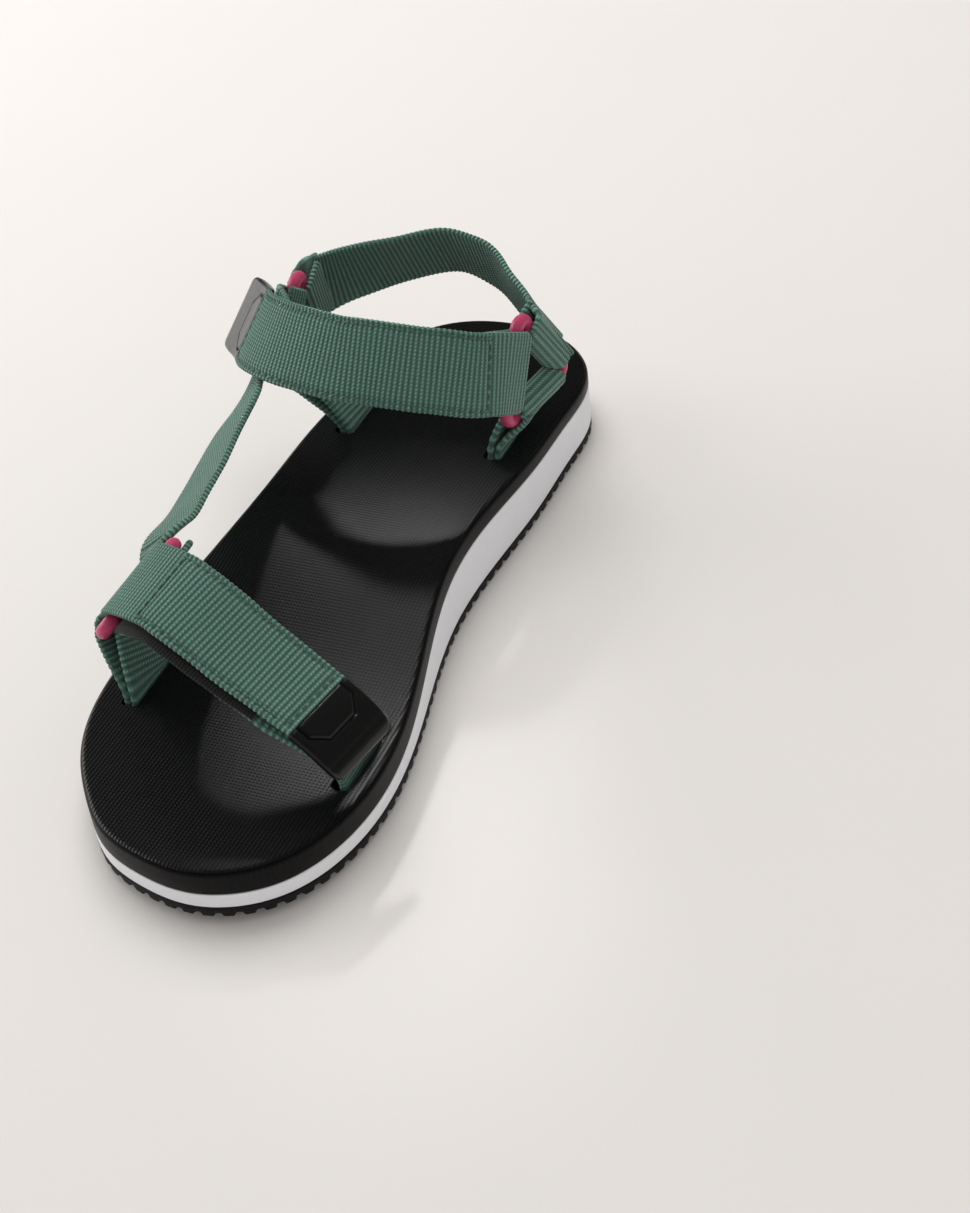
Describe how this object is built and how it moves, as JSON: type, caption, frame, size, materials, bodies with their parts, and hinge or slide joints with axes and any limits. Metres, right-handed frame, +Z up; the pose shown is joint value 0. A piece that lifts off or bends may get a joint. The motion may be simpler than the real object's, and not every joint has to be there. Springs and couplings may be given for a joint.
{
  "type": "strappy sport sandal",
  "caption": "Right-foot open sport sandal with a layered flat sole and webbing straps threaded through triangular rings; forefoot and ankle straps open as hook-and-loop flaps.",
  "frame": {"origin": "middle of the sole's length and width, on the outsole's flat resting face", "axes": "+X towards the toe, +Y towards the inner (medial) side of the right foot, +Z up out of the sole"},
  "size_m": [0.2639, 0.1196, 0.0792],
  "materials": {
    "outsole_rubber": "matt moulded rubber",
    "midsole_foam": "satin moulded foam, light grey-white",
    "footbed_foam": "fine embossed foam, charcoal black",
    "ring_plastic": "gloss moulded, pink",
    "webbing": "ribbed woven polyester webbing, sage green",
    "loop_tape": "brushed loop pile, black",
    "hook_tape": "moulded hooks, black",
    "tab_plastic": "satin moulded, black",
    "thread": "bonded sewing thread, dark green"
  },
  "bodies": {
    "root": {"outsole": "outsole_rubber", "midsole": "midsole_foam", "footbed": "footbed_foam", "ankle_ring_medial": "ring_plastic", "ankle_ring_lateral": "ring_plastic", "forefoot_ring": "ring_plastic", "ankle_anchor_medial": "webbing", "ankle_anchor_lateral": "webbing", "forefoot_anchor_lateral": "webbing", "ankle_strap_base": "webbing", "ankle_loop_tape": "loop_tape", "forefoot_strap_base": "webbing", "forefoot_loop_tape": "loop_tape", "side_strap": "webbing", "side_strap_stitching": "thread", "heel_strap_end_medial": "webbing", "heel_strap_end_lateral": "webbing"},
    "ankle_flap": {"ankle_strap_flap": "webbing", "ankle_hook_tape": "hook_tape", "ankle_pull_tab": "tab_plastic", "ankle_flap_stitching": "thread"},
    "forefoot_flap": {"forefoot_strap_flap": "webbing", "forefoot_hook_tape": "hook_tape", "forefoot_pull_tab": "tab_plastic", "forefoot_flap_stitching": "thread"},
    "heel_strap_body": {"heel_strap": "webbing"}
  },
  "joints": [
    {"name": "ankle_flap_open", "type": "hinge", "parent": "root", "child": "ankle_flap", "pos_m": [-0.0587, 0.03352, 0.05395], "axis": [-0.4933, 0.0238, 0.8696], "range_deg": [0, 115]},
    {"name": "forefoot_flap_open", "type": "hinge", "parent": "root", "child": "forefoot_flap", "pos_m": [0.06025, -0.0354, 0.05093], "axis": [0.8659, -0.3084, -0.3939], "range_deg": [0, 115]},
    {"name": "heel_strap_swing", "type": "hinge", "parent": "root", "child": "heel_strap_body", "pos_m": [-0.0787, -0.0065, 0.0532], "axis": [0, 1, 0], "range_deg": [-25, 20]}
  ]
}
